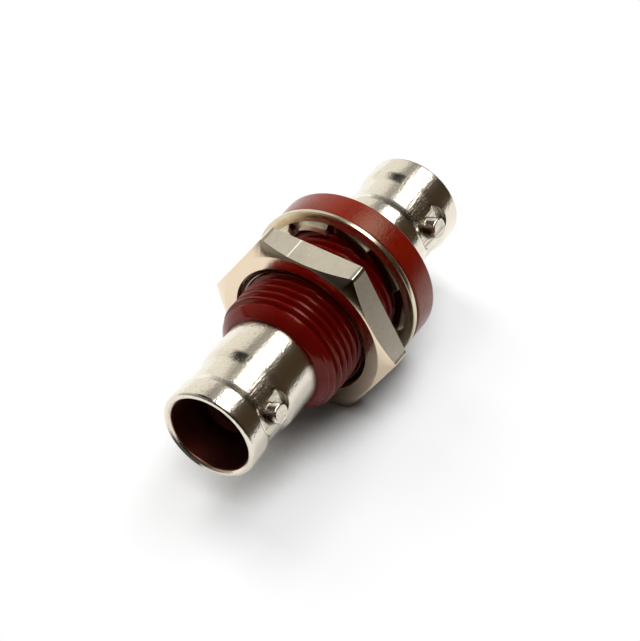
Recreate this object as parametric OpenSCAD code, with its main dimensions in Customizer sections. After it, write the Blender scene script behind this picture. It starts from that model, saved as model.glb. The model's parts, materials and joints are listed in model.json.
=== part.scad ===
// Insulated BNC bulkhead adapter, jack to jack, lying on a flat surface.
// The connector's axis runs along X, from the front mouth at -X to the rear mouth at +X.
// The origin is on the surface, under the middle of the connector.
// Turned profiles are lists of [radius, station]; a station is the distance along the
// axis from the front mouth.

/* [Overall] */
// Length from mouth to mouth
length = 36.4; // [34:0.1:42]
// Gap left between fixed pieces that seat in each other
seat_gap = 0.01; // [0.01:0.005:0.03]

/* [Barrels] */
// Outer diameter of both barrels
barrel_d = 9.6; // [9.4:0.05:9.8]
// Length of the front barrel, from its mouth to the threaded sleeve
front_barrel_l = 10.7; // [10:0.1:12]
// Wall of the barrels round their mouths
barrel_wall = 0.75; // [0.7:0.05:0.9]
// Depth of the mouths down to the inner shoulder
mouth_depth = 8.4; // [8:0.1:9]
// Chamfer on the outside of the rim
rim_chamfer = 0.2; // [0.1:0.05:0.3]
// Chamfer on the inside of the rim
mouth_chamfer = 0.25; // [0.1:0.05:0.35]
// Height of the lip that holds the insulator back
lip_h = 0.4; // [0.2:0.1:0.6]
// Length of that lip
lip_l = 0.8; // [0.5:0.1:1.2]

/* [Bayonet lugs] */
// Diameter of a lug
lug_d = 1.94; // [1.8:0.02:2.1]
// Height of a lug above the barrel
lug_h = 0.7; // [0.6:0.05:0.8]
// Distance of the lugs from the mouth
lug_station = 4.2; // [3.8:0.1:5]
// Turn of the lugs from the vertical
lug_turn = 68; // [0:1:90]
// Chamfer round the end of a lug
lug_chamfer = 0.1; // [0.05:0.05:0.2]
// Diameter of the flat that the hollow mill leaves round a lug
spot_d = 4.2; // [3.6:0.1:4.6]
// Depth of that flat below the barrel
spot_depth = 0.5; // [0.3:0.05:0.55]
// Depth of the milled waist between the lugs
waist_depth = 0.3; // [0.1:0.05:0.4]
// Start of the waist behind the mouth
waist_start = 2.3; // [2:0.1:2.8]
// End of the waist behind the mouth
waist_end = 6.5; // [6.2:0.1:7.2]
// Length of each slope into the waist
waist_slope = 0.9; // [0.5:0.1:1.2]

/* [Shell joint] */
// Step from the barrels down to the necks inside the insulating body
shoulder_step = 0.4; // [0.2:0.05:0.6]
// Wall of the front neck round the rear shell's spigot
neck_wall = 0.6; // [0.4:0.05:0.8]
// Wall of the spigot
spigot_wall = 0.6; // [0.4:0.05:0.8]
// Distance of the place where the necks meet, in front of the middle
joint_offset = 0.2; // [-1:0.1:1]
// Length of the spigot
spigot_l = 5; // [3:0.1:6]

/* [Insulating body] */
// Outer diameter of the thread
thread_d = 12.4; // [12:0.1:12.8]
// Width of the sleeve's front face outside the barrel
sleeve_tip = 0.15; // [0.05:0.05:0.6]
// Length of that taper
sleeve_taper_l = 1.4; // [0.8:0.1:1.8]
// Distance from one thread crest to the next, 28 turns to the inch
thread_pitch = 0.907; // [0.8:0.001:1]
// Depth of the thread, on the radius
thread_depth = 0.53; // [0.4:0.01:0.6]
// Width of each crest
crest_w = 0.1; // [0.05:0.01:0.15]
// Width of each root
root_w = 0.2; // [0.1:0.01:0.25]
// Station of the first full crest
first_crest = 12.4; // [12:0.05:13]
// Diameter of the flange, which is also the nut's width across its flats
flange_d = 16.8; // [16:0.1:18]
// Thickness of the flange
flange_t = 2.8; // [2:0.1:3.5]
// Station of the flange's front face
flange_station = 22.7; // [21.5:0.1:23.5]
// Chamfer round the flange
flange_chamfer = 0.2; // [0.1:0.05:0.4]

/* [Hex nut] */
// Thickness of the nut
nut_t = 2.7; // [2:0.1:3.2]
// Station of the nut's front face
nut_station = 15.55; // [14:0.05:16]
// Running clearance of the nut on the thread, on the radius
nut_clearance = 0.05; // [0.02:0.01:0.08]
// Depth of the countersink at both ends of the nut's bore
nut_countersink = 0.7; // [0.3:0.1:0.9]
// Distance of the corner chamfer's edge inside the flats, on the front face
nut_face_step = 0.15; // [0.05:0.05:0.6]
// Angle of the corner chamfer
nut_chamfer_angle = 30; // [20:1:40]

/* [Lock washer] */
// Distance that the washer stands out past the flange, on the radius
washer_overhang = 0.15; // [0:0.05:0.3]
// Thickness of the washer
washer_t = 0.5; // [0.4:0.05:0.6]
// Width of the solid ring
ring_w = 1.05; // [0.8:0.05:1.3]
// Room between the thread and the teeth, on the radius
teeth_room = 0.3; // [0.25:0.05:0.4]
// Number of teeth
teeth = 10; // [8:1:12]
// Share of the pitch that a tooth fills
tooth_fill = 0.88; // [0.7:0.02:0.9]
// Twist of each tooth about its root
tooth_twist = 9; // [4:1:12]
// Share of a tooth's width that the twist turns back, towards the flange
tooth_back = 0.25; // [0.1:0.05:0.5]
// Turn of the first tooth's middle from the vertical
tooth_turn = 11.5; // [0:0.5:35]
// Lean of the washer against the flange
washer_lean = 2.6; // [1:0.1:3.5]
// Gap between the washer and what it touches
washer_gap = 0.03; // [0.02:0.01:0.06]

/* [Insulators] */
// Step from the shells' lip down to the post in the mouth
post_step = 0.4; // [0.2:0.1:0.6]
// Distance of the post's face behind the mouth
post_station = 3.3; // [3:0.1:4]
// Chamfer round the post's face
post_chamfer = 0.2; // [0.1:0.05:0.3]

/* [Center contact] */
// Diameter of the contact
contact_d = 2.1; // [1.9:0.05:2.3]
// Diameter of its socket
socket_d = 1.36; // [1.32:0.02:1.42]
// Depth of its socket
socket_depth = 5.5; // [4:0.1:7]
// Room round the contact in the insulators, on the radius
contact_clearance = 0.05; // [0.03:0.01:0.1]
// Distance of the contact's end behind the post's face
contact_recess = 0.15; // [0.1:0.05:0.4]
// Width of the slots in the socket
slot_w = 0.25; // [0.2:0.01:0.35]
// Length of the slots
slot_l = 4; // [3:0.1:5]
// Number of slots across the socket
slots = 2; // [1:1:3]
// Diameter of the collar trapped between the insulators
collar_d = 3.4; // [3:0.1:4]
// Length of that collar
collar_l = 1.6; // [1:0.1:2.4]

/* [Hidden] */
$fn = 96;
eps = 0.01;
mid_station = length / 2;

nickel = [0.80, 0.77, 0.71];
dark_red = [0.36, 0.02, 0.02];
maroon = [0.16, 0.02, 0.02];
gold = [0.80, 0.64, 0.30];

// Radii from the outside in
flange_r = flange_d / 2;
thread_r = thread_d / 2;
barrel_r = barrel_d / 2;
mouth_r = barrel_r - barrel_wall;
neck_r = barrel_r - shoulder_step;
spigot_r = neck_r - neck_wall;
bore_r = spigot_r - spigot_wall;
lip_r = bore_r - lip_h;
post_r = lip_r - post_step;
collar_r = collar_d / 2;
contact_r = contact_d / 2;
lug_tip_r = barrel_r + lug_h;

// Stations
joint_station = mid_station - joint_offset;
flange_end = flange_station + flange_t;
rear_barrel_l = length - flange_end;

// The flange and one flat of the nut lie on the surface
axis_z = flange_r;

// ---- placing ----------------------------------------------------------------

// Puts a piece turned about Z, drawn from the front mouth, on the connector's axis
module on_axis() translate([-mid_station, 0, axis_z]) rotate([0, 90, 0]) children();

// The same for a piece drawn from the rear mouth, facing backward
module on_axis_from_rear() translate([mid_station, 0, axis_z]) rotate([0, -90, 0]) children();

module turned(profile) rotate_extrude() polygon(profile);

// Points of a smooth slope from radius ra to radius rb over a length
function slope(ra, rb, from, len, steps = 6) =
    [for (i = [0 : steps]) [ra + (rb - ra) * (1 - cos(180 * i / steps)) / 2, from + len * i / steps]];

// ---- shells -----------------------------------------------------------------

// Outside of a barrel from the rim to its shoulder
function barrel_outside(shoulder) = concat(
    [[barrel_r - rim_chamfer, 0], [barrel_r, rim_chamfer]],
    slope(barrel_r, barrel_r - waist_depth, waist_start, waist_slope),
    slope(barrel_r - waist_depth, barrel_r, waist_end - waist_slope, waist_slope),
    [[barrel_r, shoulder]]);

// Inside of a barrel from the bore behind the lip to the rim
function barrel_inside() = [
    [bore_r, mouth_depth + lip_l],
    [lip_r, mouth_depth + lip_l],
    [lip_r, mouth_depth],
    [mouth_r, mouth_depth],
    [mouth_r, mouth_chamfer],
    [mouth_r + mouth_chamfer, 0]];

// Points a tool at a lug: its Z is then square to the axis
module at_lug(turn) rotate([0, 0, turn]) translate([0, 0, lug_station]) rotate([0, 90, 0]) children();

module lug_flat() translate([0, 0, barrel_r - spot_depth]) cylinder(d = spot_d, h = lug_tip_r);

module lug() {
    translate([0, 0, mouth_r + eps]) cylinder(d = lug_d, h = lug_tip_r - lug_chamfer - mouth_r - eps);
    translate([0, 0, lug_tip_r - lug_chamfer])
        cylinder(d1 = lug_d, d2 = lug_d - 2 * lug_chamfer, h = lug_chamfer);
}

module barrel_with_lugs(profile, turn) {
    difference() {
        turned(profile);
        for (side = [0, 180]) at_lug(turn + side) lug_flat();
    }
    for (side = [0, 180]) at_lug(turn + side) lug();
}

module front_shell() {
    counterbore = joint_station - spigot_l;
    profile = concat(
        barrel_outside(front_barrel_l),
        [[neck_r, front_barrel_l], [neck_r, joint_station], [spigot_r + seat_gap, joint_station],
         [spigot_r + seat_gap, counterbore], [bore_r, counterbore]],
        barrel_inside());
    color(nickel) on_axis() barrel_with_lugs(profile, 180 + lug_turn);
}

module rear_shell() {
    neck_end = length - joint_station;
    spigot_end = neck_end + spigot_l - seat_gap;
    profile = concat(
        barrel_outside(rear_barrel_l),
        [[neck_r, rear_barrel_l], [neck_r, neck_end], [spigot_r, neck_end],
         [spigot_r, spigot_end], [bore_r, spigot_end]],
        barrel_inside());
    color(nickel) on_axis_from_rear() barrel_with_lugs(profile, -lug_turn);
}

// ---- insulating body --------------------------------------------------------

// Ring cut between two crests; the thread is drawn as rings at its pitch
module thread_groove() turned([
    [thread_r - thread_depth, -root_w / 2],
    [thread_r + eps, (crest_w - thread_pitch) / 2],
    [thread_r + eps, (thread_pitch - crest_w) / 2],
    [thread_r - thread_depth, root_w / 2]]);

module insulating_body() {
    bore = neck_r + seat_gap;
    grooves = floor((flange_station - first_crest) / thread_pitch);
    color(dark_red) on_axis() difference() {
        turned([
            [bore, front_barrel_l],
            [barrel_r + sleeve_tip, front_barrel_l],
            [thread_r, front_barrel_l + sleeve_taper_l],
            [thread_r, flange_station],
            [flange_r - flange_chamfer, flange_station],
            [flange_r, flange_station + flange_chamfer],
            [flange_r, flange_end - flange_chamfer],
            [flange_r - flange_chamfer, flange_end],
            [bore, flange_end]]);
        for (i = [0 : grooves])
            translate([0, 0, first_crest + (i - 0.5) * thread_pitch]) thread_groove();
    }
}

// ---- hex nut ----------------------------------------------------------------

module hex_nut() {
    corner_r = flange_r / cos(30);
    face_r = flange_r - nut_face_step;
    bore = thread_r + nut_clearance;
    color(nickel) on_axis() translate([0, 0, nut_station]) difference() {
        intersection() {
            rotate([0, 0, 30]) cylinder(r = corner_r, h = nut_t, $fn = 6);
            turned([
                [0, 0],
                [face_r, 0],
                [corner_r + eps, (corner_r + eps - face_r) * tan(nut_chamfer_angle)],
                [corner_r + eps, nut_t],
                [0, nut_t]]);
        }
        turned([
            [0, -eps],
            [bore + nut_countersink + eps, -eps],
            [bore, nut_countersink],
            [bore, nut_t - nut_countersink],
            [bore + nut_countersink + eps, nut_t + eps],
            [0, nut_t + eps]]);
    }
}

// ---- lock washer ------------------------------------------------------------

washer_r = flange_r + washer_overhang;
ring_inner_r = washer_r - ring_w;
tooth_half = 180 / teeth * tooth_fill;
tooth_w = 2 * ring_inner_r * sin(tooth_half);

// One tooth along X, as a flat piece of the ring turned about its root
module tooth() {
    root_r = ring_inner_r + washer_t / 3;
    pivot = tooth_w * (tooth_back - 0.5);
    translate([0, pivot, 0]) rotate([-tooth_twist, 0, 0]) translate([0, -pivot, -washer_t / 2])
        intersection() {
            difference() {
                cylinder(r = root_r, h = washer_t);
                translate([0, 0, -eps]) cylinder(r = thread_r + teeth_room, h = washer_t + 2 * eps);
            }
            linear_extrude(washer_t) polygon([
                [0, 0],
                [root_r * 2 * cos(tooth_half), -root_r * 2 * sin(tooth_half)],
                [root_r * 2 * cos(tooth_half), root_r * 2 * sin(tooth_half)]]);
        }
}

// The washer stands on the surface and leans its top against the flange
module lock_washer() {
    behind = washer_t / 2 + tooth_w * tooth_back * sin(tooth_twist) + washer_r * sin(washer_lean);
    station = flange_station - washer_gap - behind;
    height = washer_r * cos(washer_lean) + washer_t / 2 * sin(washer_lean) + washer_gap;
    color(nickel) translate([station - mid_station, 0, height]) rotate([0, 90 + washer_lean, 0]) {
        translate([0, 0, -washer_t / 2]) difference() {
            cylinder(r = washer_r, h = washer_t);
            translate([0, 0, -eps]) cylinder(r = ring_inner_r, h = washer_t + 2 * eps);
        }
        for (i = [0 : teeth - 1]) rotate([0, 0, 180 + tooth_turn + 360 * i / teeth]) tooth();
    }
}

// ---- insulators and contact -------------------------------------------------

module insulator() {
    hole = contact_r + contact_clearance;
    pocket = mid_station - collar_l / 2;
    color(maroon) turned([
        [hole, post_station],
        [post_r - post_chamfer, post_station],
        [post_r, post_station + post_chamfer],
        [post_r, mouth_depth],
        [lip_r - seat_gap, mouth_depth],
        [lip_r - seat_gap, mouth_depth + lip_l],
        [bore_r - seat_gap, mouth_depth + lip_l],
        [bore_r - seat_gap, mid_station],
        [collar_r + seat_gap, mid_station],
        [collar_r + seat_gap, pocket],
        [hole, pocket]]);
}

module front_insulator() on_axis() insulator();

module rear_insulator() on_axis_from_rear() insulator();

module socket() {
    translate([0, 0, -eps]) cylinder(d = socket_d, h = socket_depth);
    for (i = [0 : slots - 1]) rotate([0, 0, 180 * i / slots])
        translate([-contact_d, -slot_w / 2, -eps]) cube([2 * contact_d, slot_w, slot_l]);
}

module center_contact() {
    contact_l = length - 2 * (post_station + contact_recess);
    color(gold) translate([0, 0, axis_z]) rotate([0, 90, 0]) difference() {
        union() {
            translate([0, 0, -contact_l / 2]) cylinder(r = contact_r, h = contact_l);
            translate([0, 0, -collar_l / 2]) cylinder(r = collar_r, h = collar_l);
        }
        for (end = [0, 180]) rotate([0, end, 0]) translate([0, 0, -contact_l / 2]) socket();
    }
}

front_shell();
rear_shell();
insulating_body();
hex_nut();
lock_washer();
front_insulator();
rear_insulator();
center_contact();
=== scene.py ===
import json
import math

import bmesh
import bpy
from mathutils import Matrix, Quaternion, Vector


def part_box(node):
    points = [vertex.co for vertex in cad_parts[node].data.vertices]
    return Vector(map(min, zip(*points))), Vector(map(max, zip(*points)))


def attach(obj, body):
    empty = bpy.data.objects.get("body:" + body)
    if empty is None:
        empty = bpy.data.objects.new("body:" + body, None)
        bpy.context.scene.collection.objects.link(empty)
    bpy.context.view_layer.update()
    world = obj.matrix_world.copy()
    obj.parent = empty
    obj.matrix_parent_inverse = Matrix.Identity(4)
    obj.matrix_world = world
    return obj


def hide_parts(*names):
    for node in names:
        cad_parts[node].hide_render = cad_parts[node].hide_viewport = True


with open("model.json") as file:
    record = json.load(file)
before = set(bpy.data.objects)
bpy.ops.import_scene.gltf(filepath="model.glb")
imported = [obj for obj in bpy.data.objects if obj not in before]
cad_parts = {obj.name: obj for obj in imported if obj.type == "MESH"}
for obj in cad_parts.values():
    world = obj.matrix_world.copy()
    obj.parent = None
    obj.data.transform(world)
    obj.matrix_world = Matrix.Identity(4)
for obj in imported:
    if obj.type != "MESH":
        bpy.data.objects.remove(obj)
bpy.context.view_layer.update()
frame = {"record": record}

# Lengths are in millimetres, and MM turns them into metres. A station is a distance
# along the axis from the front mouth, or from the rear mouth for the rear pieces.
# A turn is an angle round the axis from the top, towards -Y.
MM = 0.001
FRONT_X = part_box("front_shell")[0].x
REAR_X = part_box("rear_shell")[1].x
BODY_LOW, BODY_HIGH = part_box("insulating_body")
AXIS_Z = (BODY_LOW.z + BODY_HIGH.z) / 2
LENGTH = (REAR_X - FRONT_X) / MM
SEAT_GAP = 0.01  # between pieces that are pressed or clamped together
ALONG_AXIS = Vector((1, 0, 0))


def station_of(x):
    return (x - FRONT_X) / MM


def place(station, radius, turn, rear=False):
    x = REAR_X - station * MM if rear else FRONT_X + station * MM
    return Vector((x, -radius * MM * math.sin(turn), AXIS_Z + radius * MM * math.cos(turn)))


# ---- mesh helpers ---------------------------------------------------------------------


def finished(name, bm, sharp=40):
    """Turns a bmesh into an object that is smooth except over sharp edges."""
    bmesh.ops.recalc_face_normals(bm, faces=bm.faces)
    mesh = bpy.data.meshes.new(name)
    bm.to_mesh(mesh)
    bm.free()
    mesh.shade_smooth()
    mesh.set_sharp_from_angle(angle=math.radians(sharp))
    obj = bpy.data.objects.new(name, mesh)
    bpy.context.scene.collection.objects.link(obj)
    return obj


def bridged(bm, rings, closed=True):
    """Faces from each ring of points to the next, and from the last ring to the first."""
    following = rings[1:] + rings[:1] if closed else rings[1:]
    for ring, other in zip(rings, following):
        for k in range(len(ring)):
            n = (k + 1) % len(ring)
            bm.faces.new((ring[k], ring[n], other[n], other[k]))


def rounded(points, size, steps=3):
    """Rounds the corners of a closed profile; a point may bring its own size."""
    straight = math.radians(172)
    out = []
    for i, point in enumerate(points):
        here = Vector(point[:2])
        before = Vector(points[i - 1][:2])
        after = Vector(points[(i + 1) % len(points)][:2])
        a, b = before - here, after - here
        cut = point[2] if len(point) > 2 else size
        cut = min(cut, 0.45 * a.length, 0.45 * b.length)
        if cut <= 0 or a.angle(b) > straight:
            out.append(tuple(here))
            continue
        start, end = here + a.normalized() * cut, here + b.normalized() * cut
        for k in range(steps + 1):
            t = k / steps
            out.append(tuple(start * (1 - t) ** 2 + here * 2 * t * (1 - t) + end * t * t))
    return out


def turned(name, profile, rear=False, steps=256):
    """A closed profile turned round the axis. A profile entry is (station, radius),
    or a function of the turn that gives them."""
    bm = bmesh.new()
    rings = []
    for entry in profile:
        ring = []
        for k in range(steps):
            turn = 2 * math.pi * k / steps
            station, radius = entry(turn) if callable(entry) else entry
            ring.append(bm.verts.new(place(station, radius, turn, rear)))
        rings.append(ring)
    bridged(bm, rings)
    return finished(name, bm)


def peg(name, origin, direction, profile, steps=96):
    """A solid turned round any axis from a profile of (height, radius)."""
    bm = bmesh.new()
    turn_to = direction.to_track_quat("Z", "Y")
    rings = []
    for height, radius in profile:
        ring = []
        for k in range(steps):
            angle = 2 * math.pi * k / steps
            local = Vector((radius * math.cos(angle), radius * math.sin(angle), height)) * MM
            ring.append(bm.verts.new(origin + turn_to @ local))
        rings.append(ring)
    bridged(bm, rings, closed=False)
    bm.faces.new(rings[0])
    bm.faces.new(rings[-1])
    return finished(name, bm)


def block(name, low, high, turn):
    """A box between two corners, in metres from the axis, turned about the axis."""
    bm = bmesh.new()
    bmesh.ops.create_cube(bm, size=1)
    spin = Matrix.Rotation(turn, 4, "X")
    for v in bm.verts:
        p = Vector(low[i] + (high[i] - low[i]) * (v.co[i] + 0.5) for i in range(3))
        v.co = spin @ p + Vector((0, 0, AXIS_Z))
    return finished(name, bm)


def applied(obj):
    """Bakes the modifiers into the mesh."""
    bpy.context.view_layer.update()
    graph = bpy.context.evaluated_depsgraph_get()
    mesh = bpy.data.meshes.new_from_object(obj.evaluated_get(graph))
    mesh.name = obj.name
    obj.modifiers.clear()
    obj.data = mesh
    return obj


def combined(obj, tool, operation):
    """Boolean of obj with tool; the tool goes."""
    modifier = obj.modifiers.new("combine", "BOOLEAN")
    modifier.operation = operation
    modifier.solver = "EXACT"
    modifier.object = tool
    applied(obj)
    bpy.data.objects.remove(tool)
    return obj


def softened(obj, width, angle=42):
    """Rounds the edges that turn by more than an angle, and keeps the flats flat."""
    bevel = obj.modifiers.new("edges", "BEVEL")
    bevel.width = width * MM
    bevel.segments = 2
    bevel.limit_method = "ANGLE"
    bevel.angle_limit = math.radians(angle)
    bevel.use_clamp_overlap = True
    applied(obj)
    obj.data.shade_smooth()
    obj.data.set_sharp_from_angle(angle=math.radians(50))
    normals = obj.modifiers.new("normals", "WEIGHTED_NORMAL")
    normals.keep_sharp = True
    normals.weight = 80
    return applied(obj)


def ready(obj, material, slot, body, *nodes):
    """Gives a piece its material and body, and hides the CAD nodes it stands for. The slot is not used."""
    obj.data.materials.clear()
    obj.data.materials.append(material)
    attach(obj, body)
    if nodes:
        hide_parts(*nodes)


# ---- node helpers ---------------------------------------------------------------------


class Nodes:
    """Short names for the nodes of one material or world."""

    def __init__(self, owner):
        owner.use_nodes = True
        self.owner = owner
        self.tree = owner.node_tree
        self.tree.nodes.clear()

    def put(self, socket, value):
        """Links an output to a socket or sets a constant; three numbers make an opaque colour."""
        if isinstance(value, bpy.types.NodeSocket):
            self.tree.links.new(value, socket)
        elif socket.type == "RGBA":
            socket.default_value = (*value, 1)
        else:
            socket.default_value = value

    def add(self, kind, **values):
        """A node, with values for its own settings or for its inputs."""
        node = self.tree.nodes.new(kind)
        for key, value in values.items():
            if hasattr(node, key):
                setattr(node, key, value)
            else:
                self.put(node.inputs[key.replace("_", " ")], value)
        return node

    def math(self, operation, *values):
        node = self.add("ShaderNodeMath", operation=operation)
        for socket, value in zip(node.inputs, values):
            self.put(socket, value)
        return node.outputs[0]

    def times(self, first, *others):
        for other in others:
            first = self.math("MULTIPLY", first, other)
        return first

    def plus(self, first, *others):
        for other in others:
            first = self.math("ADD", first, other)
        return first

    def minus(self, first, second):
        return self.math("SUBTRACT", first, second)

    def ease(self, value, low, high, start=0.0, end=1.0, kind="SMOOTHSTEP"):
        """Takes a value that goes from low to high to one that goes from start to end."""
        node = self.add("ShaderNodeMapRange", interpolation_type=kind)
        for socket, v in zip(node.inputs, (value, low, high, start, end)):
            self.put(socket, v)
        return node.outputs[0]

    def band(self, value, rise, fall):
        """1 between two soft edges, each given as where it starts and ends, and 0 outside."""
        return self.times(self.ease(value, *rise), self.ease(value, *fall, 1.0, 0.0))

    def window(self, value, low, high, soft):
        """1 from low to high and 0 outside, with edges that reach soft to both sides."""
        return self.band(value, (low - soft, low + soft), (high - soft, high + soft))

    def ramp(self, value, stops):
        """The colour that belongs to a value, from stops of (value, colour)."""
        low, high = stops[0][0], stops[-1][0]
        node = self.add("ShaderNodeValToRGB")
        self.put(node.inputs[0], self.ease(value, low, high, kind="LINEAR"))
        elements = node.color_ramp.elements
        while len(elements) < len(stops):
            elements.new(0.5)
        for element, (at, colour) in zip(elements, stops):
            element.position = (at - low) / (high - low)
            element.color = (*colour, 1)
        return node.outputs["Color"]

    def blend(self, factor, first, second):
        """One colour into another."""
        node = self.add("ShaderNodeMix", data_type="RGBA")
        for socket, value in zip((node.inputs["Factor"], node.inputs[6], node.inputs[7]),
                                 (factor, first, second)):
            self.put(socket, value)
        return node.outputs[2]

    def mixed(self, share, first, second):
        """One shader into another."""
        node = self.add("ShaderNodeMixShader")
        for socket, value in zip(node.inputs, (share, first, second)):
            self.put(socket, value)
        return node.outputs[0]

    def place_mm(self):
        """Row frame coordinates in millimetres, taken from the axis."""
        return self.add("ShaderNodeMapping", Vector=self.add("ShaderNodeTexCoord").outputs["Object"],
                        Location=(0, 0, -AXIS_Z / MM), Scale=(1 / MM,) * 3).outputs[0]

    def stretched(self, vector, *scale):
        return self.add("ShaderNodeMapping", Vector=vector, Scale=scale).outputs[0]

    def parts(self, vector):
        return self.add("ShaderNodeSeparateXYZ", Vector=vector).outputs

    def polar(self, vector):
        """(position along the axis, turn, radius) of a point."""
        x, y, z = self.parts(vector)
        turn = self.math("ARCTAN2", self.times(y, -1), z)
        return x, turn, self.math("SQRT", self.plus(self.times(y, y), self.times(z, z)))

    def noise(self, vector, scale, detail, roughness):
        return self.add("ShaderNodeTexNoise", Vector=vector, Scale=scale, Detail=detail,
                        Roughness=roughness).outputs["Fac"]

    def bumps(self, *layers):
        """A normal from layers of (height, distance in millimetres, strength)."""
        normal = None
        for height, distance, strength in layers:
            node = self.add("ShaderNodeBump", Height=height, Distance=distance * MM, Strength=strength)
            if normal is not None:
                self.put(node.inputs["Normal"], normal)
            normal = node.outputs[0]
        return normal

    def surface(self, kind, shader):
        self.add(kind, Surface=shader)
        return self.owner

    def principled(self, **values):
        shader = self.add("ShaderNodeBsdfPrincipled", **values)
        return self.surface("ShaderNodeOutputMaterial", shader.outputs[0])


# ---- materials ------------------------------------------------------------------------


def nickel_barrel():
    """Bright nickel over turned brass: grainy, streaked in the waist, with painted dark reflections round
    the lugs and on one side of the rim, and painted shade in the bore.
    """
    n = Nodes(bpy.data.materials.new("nickel_barrel"))
    p = n.place_mm()
    x, turn, radius = n.polar(p)
    _, y, z = n.parts(p)
    from_mouth = n.minus(LENGTH / 2, n.math("ABSOLUTE", x))
    waist = n.band(from_mouth, (WAIST_START + 0.3, WAIST_START + 0.7), (WAIST_END - 0.7, WAIST_END - 0.3))
    cloud = n.noise(p, 0.35, 4.0, 0.6)
    grain = n.noise(p, 6.0, 4.0, 0.65)
    pits = n.noise(p, 4.0, 1.0, 0.5)
    rings = n.noise(n.stretched(p, 9.0, 0.05, 0.05), 1.6, 4.0, 0.7)
    around = n.add("ShaderNodeCombineXYZ", X=n.times(x, 0.25), Y=n.times(turn, 14.0)).outputs[0]
    streaks = n.noise(around, 1.0, 3.0, 0.6)
    tone = n.blend(n.ease(cloud, 0.3, 0.7), (0.74, 0.68, 0.575), (0.79, 0.735, 0.635))
    tone = n.blend(n.times(n.ease(pits, 0.56, 0.72), 0.25), tone, (0.50, 0.45, 0.36))

    # round a lug: how high above the axis, how far to one side, and how far from its middle line
    height = n.math("ABSOLUTE", n.plus(n.times(y, -math.sin(LUG_TURN)), n.times(z, math.cos(LUG_TURN))))
    aside = n.plus(n.times(y, math.cos(LUG_TURN)), n.times(z, math.sin(LUG_TURN)))
    along = n.minus(from_mouth, LUG_STATION)
    away = n.math("SQRT", n.plus(n.times(along, along), n.times(aside, aside)))
    milled = n.times(waist, n.ease(away, 2.2, 4.2, 1.0, 0.0))
    tone = n.blend(n.times(n.ease(streaks, 0.48, 0.64), milled, 0.6), tone, (0.34, 0.30, 0.22))
    # painted dark reflection: the lug's side and the wall of its milled flat are darkened
    side = n.times(n.band(away, (LUG_R - 0.10, LUG_R - 0.04), (LUG_R + 0.03, LUG_R + 0.30)),
                   n.ease(height, LUG_TIP_R - 0.55, LUG_TIP_R - 0.10, 0.92, 0.0),
                   n.ease(aside, 0.25, 0.75, 1.0, 0.0))
    wall = n.band(away, (FLAT_R - 0.16, FLAT_R - 0.04), (FLAT_R + 0.02, FLAT_R + 0.12))
    outside = n.ease(height, FLAT_HEIGHT - 0.2, FLAT_HEIGHT - 0.1)
    painted_dark_reflection = n.times(n.math("MAXIMUM", side, n.times(wall, 0.75)), outside)
    tone = n.blend(painted_dark_reflection, tone, (0.085, 0.055, 0.025))

    # painted dark reflection on one side of the mouth's rim, with a ragged end
    rim = n.times(n.ease(radius, MOUTH_R + 0.17, MOUTH_R + 0.25), n.ease(from_mouth, 0.30, 0.42, 1.0, 0.0))
    ragged = n.plus(turn, n.times(n.minus(grain, 0.5), 0.5))
    painted_dark_rim = n.times(rim, n.band(ragged, (-3.02, -2.90), (-2.25, -1.75)))
    tone = n.blend(n.times(painted_dark_rim, 0.95), tone, (0.03, 0.026, 0.02))

    # painted shade: the bore inside the mouth is darker and redder
    inside = n.ease(radius, MOUTH_R + 0.03, MOUTH_R + 0.10, 1.0, 0.0)
    tone = n.blend(inside, tone, (0.42, 0.15, 0.11))
    rough = n.plus(0.15, n.times(n.ease(grain, 0.3, 0.8), 0.10), n.times(waist, 0.05),
                   n.times(inside, 0.15), n.times(painted_dark_rim, 0.35))
    bump = n.bumps((rings, 0.004, 0.35), (n.times(streaks, milled), 0.06, 0.8), (pits, 0.026, 0.6),
                   (grain, 0.012, 0.5))
    return n.principled(Base_Color=tone, Metallic=1.0, Roughness=rough, Normal=bump)


def nickel_nut():
    """Grainy plating on the nut's flats, smoother on its faced ends, with painted shade in the bore."""
    n = Nodes(bpy.data.materials.new("nickel_nut_satin"))
    p = n.place_mm()
    radius = n.polar(p)[2]
    _, y, z = n.parts(p)
    endwise = n.parts(n.add("ShaderNodeNewGeometry").outputs["Normal"])[0]
    faced = n.ease(n.math("ABSOLUTE", endwise), 0.55, 0.75)
    corner = n.ease(radius, NUT_CORNER - 0.22, NUT_CORNER - 0.10)
    cloud = n.noise(p, 0.45, 4.0, 0.6)
    mottle = n.noise(p, 2.2, 3.0, 0.6)
    grain = n.noise(p, 9.0, 5.0, 0.7)
    specks = n.ease(n.noise(p, 3.4, 2.0, 0.5), 0.63, 0.72)
    scored = n.times(n.ease(n.math("ABSOLUTE", n.minus(y, SCORE_Y)), 0.03, 0.09, 1.0, 0.0),
                     n.ease(z, NUT_FLAT - 0.1, NUT_FLAT - 0.04))
    # painted shade: the nut's bore is darkened
    painted_bore_shade = n.ease(radius, NUT_BORE + 0.40, NUT_BORE + 0.62, 0.85, 0.0)
    tone = n.blend(n.ease(cloud, 0.3, 0.7), (0.81, 0.735, 0.60), (0.89, 0.815, 0.68))
    tone = n.blend(n.times(n.ease(mottle, 0.5, 0.7), 0.30), tone, (0.58, 0.54, 0.45))
    tone = n.blend(n.times(specks, 0.8), tone, (0.97, 0.95, 0.90))
    tone = n.blend(faced, tone, (0.74, 0.605, 0.45))
    tone = n.blend(n.times(scored, 0.35), tone, (0.93, 0.91, 0.86))
    tone = n.blend(painted_bore_shade, tone, (0.20, 0.13, 0.10))
    rough = n.plus(0.31, n.times(n.ease(grain, 0.3, 0.75), 0.05))
    smooth = n.math("MAXIMUM", faced, corner)
    rough = n.minus(rough, n.times(n.minus(rough, 0.11), smooth))
    bump = n.bumps((grain, 0.012, 0.5), (mottle, 0.02, 0.35), (scored, 0.02, 0.5))
    return n.principled(Base_Color=tone, Metallic=1.0, Roughness=rough, Normal=bump)


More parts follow.
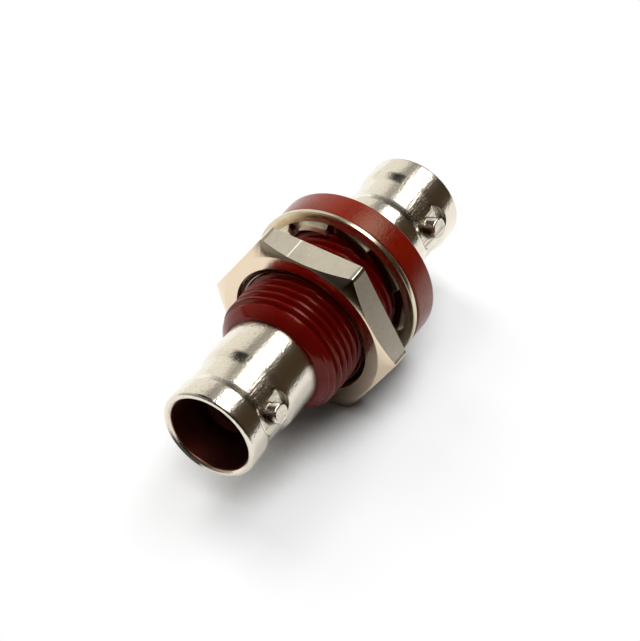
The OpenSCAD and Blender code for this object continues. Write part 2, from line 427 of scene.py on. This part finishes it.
def nickel_spring():
    """Plated spring steel with the faint lines of rolled strip, and painted dark reflections on some of the
    teeth.
    """
    n = Nodes(bpy.data.materials.new("nickel_spring_strip"))
    p = n.place_mm()
    _, turn, radius = n.polar(p)
    cloud = n.noise(p, 0.5, 4.0, 0.6)
    lines = n.noise(n.stretched(p, 0.4, 6.0, 0.4), 2.0, 3.0, 0.6)
    grain = n.noise(p, 8.0, 3.0, 0.6)
    inner = n.ease(radius, RING_R + 0.45, RING_R + 0.75, 1.0, 0.0)
    # painted dark reflection: the teeth on one side are darkened
    painted_dark_reflection = n.times(n.band(turn, (-0.12, 0.0), (1.60, 1.85)),
                      n.ease(radius, RING_R - 0.05, RING_R + 0.20, 1.0, 0.0))
    tone = n.blend(n.ease(cloud, 0.3, 0.7), (0.62, 0.545, 0.40), (0.70, 0.63, 0.48))
    tone = n.blend(n.times(painted_dark_reflection, 0.94), tone, (0.024, 0.011, 0.004))
    rough = n.plus(0.18, n.times(n.ease(grain, 0.3, 0.8), 0.10), n.times(inner, 0.12))
    bump = n.bumps((lines, 0.006, 0.4), (grain, 0.006, 0.4))
    return n.principled(Base_Color=tone, Metallic=1.0, Roughness=rough, Normal=bump)


def red_plastic():
    """Glossy oxblood moulding compound, smoother on the sleeve than on the flange, and darker there as
    painted shade.
    """
    n = Nodes(bpy.data.materials.new("red_plastic_moulded"))
    p = n.place_mm()
    sleeve = n.ease(n.polar(p)[2], CREST_R + 0.1, CREST_R + 1.0, 1.0, 0.0)
    cloud = n.noise(p, 0.3, 4.0, 0.6)
    fine = n.noise(p, 7.0, 4.0, 0.6)
    coarse = n.times(n.noise(p, 3.5, 4.0, 0.65), n.minus(1.0, sleeve))
    tone = n.blend(n.ease(cloud, 0.3, 0.7), (0.135, 0.0035, 0.001), (0.185, 0.007, 0.0015))
    # painted shade: the threaded sleeve is darkened
    tone = n.blend(n.times(sleeve, 0.5), tone, (0.095, 0.0006, 0.002))
    tint = n.blend(sleeve, (1.0, 0.70, 0.42), (0.74, 0.40, 0.33))
    rough = n.minus(n.plus(0.15, n.times(n.ease(fine, 0.35, 0.75), 0.10)), n.times(sleeve, 0.06))
    bump = n.bumps((fine, 0.008, 0.4), (cloud, 0.05, 0.3), (coarse, 0.055, 0.7))
    return n.principled(Base_Color=tone, Specular_IOR_Level=0.52, Roughness=rough, Normal=bump,
                        Specular_Tint=tint)


def maroon_plastic():
    """Darker, duller plastic round the contact."""
    n = Nodes(bpy.data.materials.new("maroon_plastic_turned"))
    p = n.place_mm()
    cloud = n.noise(p, 0.5, 3.0, 0.6)
    fine = n.noise(n.stretched(p, 6.0, 1.0, 1.0), 2.0, 3.0, 0.6)
    tone = n.blend(n.ease(cloud, 0.3, 0.7), (0.018, 0.0012, 0.0012), (0.026, 0.0018, 0.0015))
    rough = n.plus(0.48, n.times(fine, 0.15))
    bump = n.bumps((fine, 0.01, 0.4))
    return n.principled(Base_Color=tone, Roughness=rough, Specular_IOR_Level=0.05, Normal=bump)


def gold_plate():
    """Gold over the contact's brass."""
    n = Nodes(bpy.data.materials.new("gold_plate_turned"))
    p = n.place_mm()
    cloud = n.noise(p, 1.2, 3.0, 0.6)
    lines = n.noise(n.stretched(p, 8.0, 0.2, 0.2), 2.0, 3.0, 0.6)
    tone = n.blend(n.ease(cloud, 0.3, 0.7), (0.55, 0.37, 0.14), (0.66, 0.47, 0.20))
    rough = n.plus(0.18, n.times(lines, 0.12))
    bump = n.bumps((lines, 0.006, 0.4))
    return n.principled(Base_Color=tone, Metallic=1.0, Roughness=rough, Normal=bump)


DARK_ROOM = (0.05, 0.033, 0.017)  # what the metal reflects beyond the lit studio


def pale_floor():
    """Pale paper that keeps the shadow close to the object, deepened by painted contact shade, and shows
    white further off.
    Its distances are in metres."""
    n = Nodes(bpy.data.materials.new("pale_floor"))
    ray = n.add("ShaderNodeLightPath").outputs
    spot = n.add("ShaderNodeTexCoord").outputs["Object"]
    x, y, _ = n.parts(spot)
    length = n.add("ShaderNodeVectorMath", operation="LENGTH")
    n.put(length.inputs[0], spot)
    far = length.outputs["Value"]
    # painted contact shade: the paper is darker, and shows less white, where ambient occlusion finds the
    # object close
    painted_shade_ao = n.ease(n.add("ShaderNodeAmbientOcclusion", Distance=0.008).outputs["AO"], 0.33, 0.79)
    paper = n.add("ShaderNodeBsdfDiffuse", Color=n.blend(painted_shade_ao, (0.36, 0.365, 0.37), (0.86, 0.88, 0.91)))

    # what reflections see beyond the edge of the pale paper
    beyond = n.math("MAXIMUM", n.ease(y, -0.075, -0.045, 1.0, 0.0), n.ease(x, -0.110, -0.070, 1.0, 0.0))
    dark = n.add("ShaderNodeEmission", Color=DARK_ROOM).outputs[0]
    surface = n.mixed(n.times(ray["Is Glossy Ray"], beyond), paper.outputs[0], dark)

    # the share of plain white that the camera sees
    share = n.math("MAXIMUM", n.ease(n.math("ABSOLUTE", y), 0.006, 0.013, 0.36, 0.75),
                   n.ease(far, 0.022, 0.040))
    seen = n.math("MAXIMUM", ray["Is Camera Ray"], ray["Is Transmission Ray"])
    white = n.add("ShaderNodeEmission", Color=(1, 1, 1)).outputs[0]
    return n.surface("ShaderNodeOutputMaterial", n.mixed(n.times(share, painted_shade_ao, seen), surface, white))


# ---- shells ---------------------------------------------------------------------------

BARREL_R, MOUTH_R = 4.8, 4.05
NECK_R, SPIGOT_R, BORE_R, LIP_R = 4.4, 3.8, 3.2, 2.8
MOUTH_DEPTH, LIP_L, SPIGOT_L = 8.4, 0.8, 5.0
RIM_ROUND, RIM_INSET, MOUTH_BEVEL = 0.30, 0.02, 0.25
WAIST_R, WAIST_START, WAIST_END, WAIST_SLOPE = 4.5, 2.3, 6.5, 0.9
FRONT_SHOULDER, REAR_SHOULDER = 10.7, LENGTH - 25.5
NECKS_MEET = LENGTH / 2 - 0.2
LUG_R, LUG_TIP_R, LUG_STATION, LUG_TURN = 0.97, 5.5, 4.2, math.radians(68)
LUG_EDGE = ((0.16, 0), (0.09, 0.03), (0.03, 0.09), (0, 0.16))
FLAT_R, FLAT_HEIGHT, FLAT_TOP = 2.1, 4.3, 6.5


def shell(name, rear, shoulder, hidden):
    """A barrel with its waist, lugs and mouth. The points of hidden go from its shoulder to its bore."""
    outside = []
    for degrees in range(0, 91, 15):
        a = math.radians(degrees)
        station = RIM_INSET + RIM_ROUND * (1 - math.cos(a))
        outside.append((station, BARREL_R - RIM_ROUND * (1 - math.sin(a)), 0))
    outside += [(WAIST_START, BARREL_R, 0.22), (WAIST_START + WAIST_SLOPE, WAIST_R, 0.22),
                (WAIST_END - WAIST_SLOPE, WAIST_R, 0.3), (WAIST_END, BARREL_R, 0.3), (shoulder, BARREL_R)]
    inside = [(MOUTH_DEPTH + LIP_L, BORE_R), (MOUTH_DEPTH + LIP_L, LIP_R), (MOUTH_DEPTH, LIP_R),
              (MOUTH_DEPTH, MOUTH_R, 0.2), (MOUTH_BEVEL, MOUTH_R, 0.08),
              (RIM_INSET, MOUTH_R + MOUTH_BEVEL, 0.06)]
    obj = turned(name, rounded(outside + hidden + inside, 0.08), rear)
    foot = place(LUG_STATION, 0, 0, rear)
    lug = [(MOUTH_R + 0.1, LUG_R)] + [(LUG_TIP_R - down, LUG_R - back) for down, back in LUG_EDGE]
    for turn in (LUG_TURN, LUG_TURN + math.pi):
        out = Vector((0, -math.sin(turn), math.cos(turn)))
        flat = peg("flat", foot, out, [(FLAT_HEIGHT, FLAT_R), (FLAT_TOP, FLAT_R)])
        obj = combined(obj, flat, "DIFFERENCE")
        obj = combined(obj, peg("lug", foot, out, lug), "UNION")
    return softened(obj, 0.035)


nickel = nickel_barrel()
SPIGOT_HOLE_R = SPIGOT_R + SEAT_GAP
front = shell("front_shell_bright", False, FRONT_SHOULDER, [
    (FRONT_SHOULDER, NECK_R), (NECKS_MEET, NECK_R), (NECKS_MEET, SPIGOT_HOLE_R),
    (NECKS_MEET - SPIGOT_L, SPIGOT_HOLE_R), (NECKS_MEET - SPIGOT_L, BORE_R)])
ready(front, nickel, "nickel_plate", "connector", "front_shell")

REAR_NECK = LENGTH - NECKS_MEET
SPIGOT_END = REAR_NECK + SPIGOT_L - SEAT_GAP
rear = shell("rear_shell_bright", True, REAR_SHOULDER, [
    (REAR_SHOULDER, NECK_R), (REAR_NECK, NECK_R), (REAR_NECK, SPIGOT_R),
    (SPIGOT_END, SPIGOT_R), (SPIGOT_END, BORE_R)])
ready(rear, nickel, "nickel_plate", "connector", "rear_shell")

# ---- threaded sleeve and flange -------------------------------------------------------

PITCH = 2 * math.pi / frame["record"]["behaviour"]["couplings"][0]["ratio"] / MM
CREST_R, THREAD_DEPTH, FIRST_CREST = 6.2, 0.53, 12.40
CREST_HALF, ROOT_HALF = 0.05, 0.10
SLEEVE_START, SLEEVE_BORE = station_of(BODY_LOW.x), NECK_R + SEAT_GAP
NOSE_R, NOSE_L, NOSE_CURVE = 4.95, 1.4, 1.7
FLANGE_R = (BODY_HIGH.z - BODY_LOW.z) / 2 / MM
FLANGE_END = station_of(BODY_HIGH.x)
FLANGE_T = 2.8
FLANGE_START = FLANGE_END - FLANGE_T


def thread_radius(station, turn):
    """Outside of the moulded thread, right-handed along +X."""
    u = (station - FIRST_CREST) / PITCH - turn / (2 * math.pi)
    away = abs(u - round(u)) * PITCH
    k = min(max((away - CREST_HALF) / (PITCH / 2 - CREST_HALF - ROOT_HALF), 0.0), 1.0)
    k = 0.45 * k + 0.55 * k * k * (3 - 2 * k)
    return CREST_R - THREAD_DEPTH * k


def thread_rows(start, end, row_at):
    """Rows of a threaded surface, sixteen to a pitch."""
    rows = []
    station = start
    while station < end:
        rows.append(row_at(station))
        station += PITCH / 16
    return rows


def sleeve_row(station):
    """The sleeve's thread, which runs out on its rounded nose."""
    rest = max(1 - (station - SLEEVE_START) / NOSE_L, 0)
    nose = CREST_R - (CREST_R - NOSE_R) * rest ** NOSE_CURVE
    return lambda turn: (station, min(thread_radius(station, turn), nose))


profile = [(SLEEVE_START, SLEEVE_BORE), (SLEEVE_START, NOSE_R - 0.05)]
profile += thread_rows(SLEEVE_START + 0.04, FLANGE_START - 0.02, sleeve_row)
profile.append(sleeve_row(FLANGE_START - 0.02))
profile += rounded([
    (FLANGE_START, CREST_R + 0.05, 0.0), (FLANGE_START, FLANGE_R, 0.22), (FLANGE_END, FLANGE_R, 0.22),
    (FLANGE_END, SLEEVE_BORE, 0.05)], 0.05, 5)
body = turned("sleeve_and_flange", profile, steps=224)
ready(body, red_plastic(), "red_plastic", "connector", "insulating_body")

# ---- hex nut --------------------------------------------------------------------------

NUT_LOW, NUT_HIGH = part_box("hex_nut")
NUT_START, NUT_END = station_of(NUT_LOW.x), station_of(NUT_HIGH.x)
NUT_L = NUT_END - NUT_START
NUT_FLAT = (NUT_HIGH.z - NUT_LOW.z) / 2 / MM
NUT_CORNER = NUT_FLAT / math.cos(math.pi / 6)
NUT_FACE_R, NUT_BORE, COUNTERSINK = NUT_FLAT - 0.15, 6.30, 0.65
CHAMFER_ANGLE = math.radians(30)
THREAD_PLAY = 0.09  # from the sleeve's thread to the nut's own
SCORE_Y = 1.7  # the line scored across the upper flat
OVERCUT = 0.5  # how far the chamfering tool reaches past the corners
PAST_FACE = 0.3


def hexagon(name, start, end):
    """A hexagonal prism along the axis with slightly rounded corners, a flat at the bottom."""
    corners = []
    for k in range(6):
        a = math.radians(60 * k)
        corners.append((NUT_CORNER * math.cos(a), NUT_CORNER * math.sin(a)))
    bm = bmesh.new()
    rings = []
    for station in (start, end):
        x = FRONT_X + station * MM
        rings.append([bm.verts.new((x, side * MM, AXIS_Z + up * MM)) for side, up in rounded(corners, 0.09)])
    bridged(bm, rings, closed=False)
    bm.faces.new(rings[0])
    bm.faces.new(rings[1])
    return finished(name, bm, 30)


def nut_row(station):
    """The nut's own thread, a little outside the sleeve's and cut short by the countersinks."""
    depth = min(station - NUT_START, NUT_END - station)
    sink = NUT_BORE + COUNTERSINK - depth

    def point(turn):
        radius = max(thread_radius(station, turn) + THREAD_PLAY, sink)
        return station, min(radius, NUT_BORE + 0.02)

    return point


nut = hexagon("hex_nut_satin", NUT_START, NUT_END)
nut_foot = place(NUT_START, 0, 0)
tool_r = NUT_CORNER + OVERCUT
chamfer = (tool_r - NUT_FACE_R) * math.tan(CHAMFER_ANGLE)
outside = peg("outside", nut_foot, ALONG_AXIS, [
    (0, NUT_FACE_R), (chamfer, tool_r), (NUT_L + 1, tool_r)], 192)
nut = combined(nut, outside, "INTERSECT")
sink_r = NUT_BORE + COUNTERSINK + PAST_FACE
hole = peg("hole", nut_foot, ALONG_AXIS, [
    (-PAST_FACE, sink_r), (COUNTERSINK, NUT_BORE), (NUT_L - COUNTERSINK, NUT_BORE),
    (NUT_L + PAST_FACE, sink_r)], 192)
nut = combined(nut, hole, "DIFFERENCE")
nut = softened(nut, 0.07, 25)
satin = nickel_nut()
ready(nut, satin, "nickel_nut", "nut", "hex_nut")

rows = thread_rows(NUT_START + 0.3, NUT_END - 0.3, nut_row)
rows += [(NUT_END - 0.3, NUT_BORE + 0.12), (NUT_START + 0.3, NUT_BORE + 0.12)]
ready(turned("nut_thread", rows, steps=192), satin, "nickel_nut", "nut")

# ---- lock washer ----------------------------------------------------------------------

WASHER_LOW, WASHER_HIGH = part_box("lock_washer")
WASHER_R = (WASHER_HIGH.y - WASHER_LOW.y) / 2 / MM
WASHER_T, RING_W, WASHER_GAP, LEAN = 0.5, 1.05, 0.03, math.radians(2.6)
RING_R = WASHER_R - RING_W
TEETH, TOOTH_TURN, TOOTH_HALF = 10, math.radians(11.5), math.radians(15.84)
TOOTH_TIP_R, TOOTH_ROOT_R = 6.5, RING_R + 0.25
TWIST, TOOTH_BACK = math.radians(9), 0.25
BEND_R, BEND_L = RING_R + 0.02, 0.32
TOOTH_THINNER = 0.012
TOOTH_W = 2 * RING_R * math.sin(TOOTH_HALF)
WASHER_BACK = WASHER_T / 2 + TOOTH_W * TOOTH_BACK * math.sin(TWIST) + WASHER_R * math.sin(LEAN)
WASHER_MIDDLE = place(FLANGE_START - WASHER_GAP - WASHER_BACK, 0, 0)
WASHER_MIDDLE.z = (WASHER_R * math.cos(LEAN) + WASHER_T / 2 * math.sin(LEAN) + WASHER_GAP) * MM
WASHER_BACKWARD = Vector((math.cos(LEAN), 0, -math.sin(LEAN)))
WASHER_UP = Vector((math.sin(LEAN), 0, math.cos(LEAN)))


def washer_point(radius, turn, behind):
    out = WASHER_UP * math.cos(turn) + Vector((0, -1, 0)) * math.sin(turn)
    return WASHER_MIDDLE + (out * radius + WASHER_BACKWARD * behind) * MM


def washer_ring(bm, steps=240):
    half = WASHER_T / 2
    profile = rounded([(-half, RING_R, 0.05), (-half, WASHER_R, 0.14), (half, WASHER_R, 0.10),
                       (half, RING_R, 0.05)], 0.05, 4)
    turns = [2 * math.pi * k / steps for k in range(steps)]
    rings = []
    for behind, radius in profile:
        rings.append([bm.verts.new(washer_point(radius, turn, behind)) for turn in turns])
    bridged(bm, rings)


def washer_tooth(bm, middle, across=18, along=12):
    """A blade that leaves the ring flush and twists about its own middle line."""
    sides = []
    for face in (-1, 1):
        grid = []
        for j in range(along + 1):
            radius = TOOTH_ROOT_R + (TOOTH_TIP_R - TOOTH_ROOT_R) * j / along
            inward = min(max((BEND_R - radius) / BEND_L, 0.0), 1.0)
            bend = inward * inward * (3 - 2 * inward)
            half = (WASHER_T / 2 - TOOTH_THINNER) * face
            line = []
            for i in range(across + 1):
                share = i / across - 0.5
                turn = middle + 2 * TOOTH_HALF * share
                forward = math.sin(TWIST) * TOOTH_W * (share + 0.5 - TOOTH_BACK) * bend
                line.append(bm.verts.new(washer_point(radius, turn, half - forward)))
            grid.append(line)
        sides.append(grid)
    low, high = sides
    for grid in sides:
        for j in range(along):
            for i in range(across):
                bm.faces.new((grid[j][i], grid[j][i + 1], grid[j + 1][i + 1], grid[j + 1][i]))
    for i in range(across):
        for j in (0, along):
            bm.faces.new((low[j][i], low[j][i + 1], high[j][i + 1], high[j][i]))
    for j in range(along):
        for i in (0, across):
            bm.faces.new((low[j][i], low[j + 1][i], high[j + 1][i], high[j][i]))


bm = bmesh.new()
washer_ring(bm)
for k in range(TEETH):
    washer_tooth(bm, TOOTH_TURN + 2 * math.pi * k / TEETH)
washer = softened(finished("lock_washer_bright", bm), 0.05, 50)
ready(washer, nickel_spring(), "nickel_spring", "washer", "lock_washer")

# ---- insulators and contact -----------------------------------------------------------

CONTACT_R, COLLAR_R, COLLAR_L = 1.05, 1.7, 1.6
CONTACT_LOW, CONTACT_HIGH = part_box("center_contact")
CONTACT_START, CONTACT_L = station_of(CONTACT_LOW.x), (CONTACT_HIGH.x - CONTACT_LOW.x) / MM
SOCKET_R, SOCKET_DEPTH, SLOT_W, SLOT_L = 0.68, 5.5, 0.25, 4.0
POST_R, POST_STATION, POST_HOLE_R = 2.4, 3.3, CONTACT_R + 0.05

maroon = maroon_plastic()
middle = LENGTH / 2
for name, is_rear in (("front_insulator", False), ("rear_insulator", True)):
    post = turned(name + "_turned", rounded([
        (POST_STATION, POST_HOLE_R, 0.06), (POST_STATION, POST_R, 0.22), (MOUTH_DEPTH, POST_R, 0.05),
        (MOUTH_DEPTH, LIP_R - SEAT_GAP), (MOUTH_DEPTH + LIP_L, LIP_R - SEAT_GAP),
        (MOUTH_DEPTH + LIP_L, BORE_R - SEAT_GAP), (middle, BORE_R - SEAT_GAP),
        (middle, COLLAR_R + SEAT_GAP), (middle - COLLAR_L / 2, COLLAR_R + SEAT_GAP),
        (middle - COLLAR_L / 2, POST_HOLE_R)], 0.03), is_rear, 160)
    ready(post, maroon, "maroon_plastic", "connector", name)

collar_start, collar_end = (CONTACT_L - COLLAR_L) / 2, (CONTACT_L + COLLAR_L) / 2
contact = peg("contact_gold", place(CONTACT_START, 0, 0), ALONG_AXIS, rounded([
    (0, SOCKET_R, 0), (0, CONTACT_R, 0.12), (collar_start, CONTACT_R, 0.02), (collar_start, COLLAR_R, 0.1),
    (collar_end, COLLAR_R, 0.1), (collar_end, CONTACT_R, 0.02), (CONTACT_L, CONTACT_R, 0.12),
    (CONTACT_L, SOCKET_R, 0)], 0.02))
for mouth_x, inward in ((CONTACT_LOW.x, 1), (CONTACT_HIGH.x, -1)):
    socket = peg("socket", Vector((mouth_x, 0, AXIS_Z)), Vector((inward, 0, 0)), [
        (-0.2, SOCKET_R + 0.18), (0.1, SOCKET_R), (SOCKET_DEPTH, SOCKET_R), (SOCKET_DEPTH + 0.3, 0.02)])
    contact = combined(contact, socket, "DIFFERENCE")
    near, far = sorted((mouth_x - inward * 0.1 * MM, mouth_x + inward * SLOT_L * MM))
    reach, half_slot = CONTACT_R * 1.3 * MM, SLOT_W / 2 * MM
    for turn in (0, math.pi / 2):
        slit = block("slit", (near, -reach, -half_slot), (far, reach, half_slot), turn)
        contact = combined(contact, slit, "DIFFERENCE")
ready(softened(contact, 0.02), gold_plate(), "gold_plate", "connector", "center_contact")

# ---- floor ----------------------------------------------------------------------------

bm = bmesh.new()
bmesh.ops.create_grid(bm, x_segments=1, y_segments=1, size=3.0)
floor = finished("floor", bm)
floor.location.z = -0.00002
floor.data.materials.append(pale_floor())

# ---- light ----------------------------------------------------------------------------

# What reflections see of the studio: DOME goes round the object's axis, by degrees from
# the top towards -Y, and ALONG goes along the axis, from -X to +X.
DOME = [
    (-180, (0.45, 0.44, 0.42)),
    (-92, (0.94, 0.93, 0.88)),
    (-52, (0.86, 0.84, 0.79)),
    (-40, (0.78, 0.76, 0.70)),
    (-35, (0.30, 0.29, 0.26)),
    (-24, (0.32, 0.31, 0.28)),
    (18, (0.50, 0.48, 0.44)),
    (32, DARK_ROOM),
    (95, DARK_ROOM),
    (180, (0.45, 0.44, 0.42)),
]
ALONG = [(-1.0, 0.06), (-0.82, 0.12), (-0.60, 0.42), (-0.30, 0.50), (0.25, 1.0), (0.73, 1.0),
         (0.90, 0.18), (1.0, 0.18)]
LEVEL = 1.15

# A dark gap in the ceiling over the near end of the object: from, to, and half of its soft edge.
GAP_TURN = (math.radians(-50), math.radians(-13), 0.10)
GAP_ALONG = (-0.5, 0.40, 0.12)
GAP_LEVEL = 0.03

world = bpy.data.worlds.new("studio")
bpy.context.scene.world = world
n = Nodes(world)
x, turn, _ = n.polar(n.add("ShaderNodeTexCoord").outputs["Generated"])
along = n.ramp(x, [(at, (level,) * 3) for at, level in ALONG])
around = n.ramp(turn, [(math.radians(degrees), colour) for degrees, colour in DOME])
gap = n.times(n.window(turn, *GAP_TURN), n.window(x, *GAP_ALONG))
strength = n.times(along, n.ease(gap, 0, 1, LEVEL, GAP_LEVEL, "LINEAR"))
lit = n.add("ShaderNodeBackground", Color=around, Strength=strength).outputs[0]
white = n.add("ShaderNodeBackground", Color=(1, 1, 1)).outputs[0]
by_camera = n.add("ShaderNodeLightPath").outputs["Is Camera Ray"]
n.surface("ShaderNodeOutputWorld", n.mixed(by_camera, lit, white))


def softbox(name, centre, along, across, power, colour=(1, 1, 1)):
    """A rectangular lamp that faces the object, with one side along the object's axis."""
    light = bpy.data.lights.new(name, "AREA")
    light.shape = "RECTANGLE"
    light.size, light.size_y = along, across
    light.energy = power
    light.color = colour
    obj = bpy.data.objects.new(name, light)
    bpy.context.scene.collection.objects.link(obj)
    back = Vector(centre).normalized()
    side = (ALONG_AXIS - back * back.x).normalized()
    turned_to = Matrix((side, back.cross(side), back)).transposed().to_4x4()
    obj.matrix_world = Matrix.Translation(Vector(centre) + Vector((0, 0, AXIS_Z))) @ turned_to
    return obj


softbox("overhead", (0.10, -0.070, 0.50), 0.80, 0.25, 2.3)
fill = softbox("upper_left", (0.12, 0.34, 0.38), 0.22, 0.22, 1.8, (1.0, 0.97, 0.92))
fill.visible_glossy = False

# ---- camera ---------------------------------------------------------------------------

# Place, aim, roll and lens give the photo's view of the object.
CAMERA_PLACE = Vector((-158.25, -93.95, 196.31)) * MM
CAMERA_AIM = Vector((0.6008, 0.3548, -0.7164))
CAMERA_ROLL = math.radians(1.34)

camera = bpy.data.objects.new("camera", bpy.data.cameras.new("camera"))
bpy.context.scene.collection.objects.link(camera)
camera.data.sensor_width = 36
camera.data.lens = 160.1
camera.data.clip_start, camera.data.clip_end = 0.01, 10
camera.location = CAMERA_PLACE
camera.rotation_mode = "QUATERNION"
camera.rotation_quaternion = CAMERA_AIM.to_track_quat("-Z", "Y") @ Quaternion((0, 0, 1), CAMERA_ROLL)
bpy.context.scene.camera = camera
bpy.context.scene.view_settings.view_transform = "Standard"
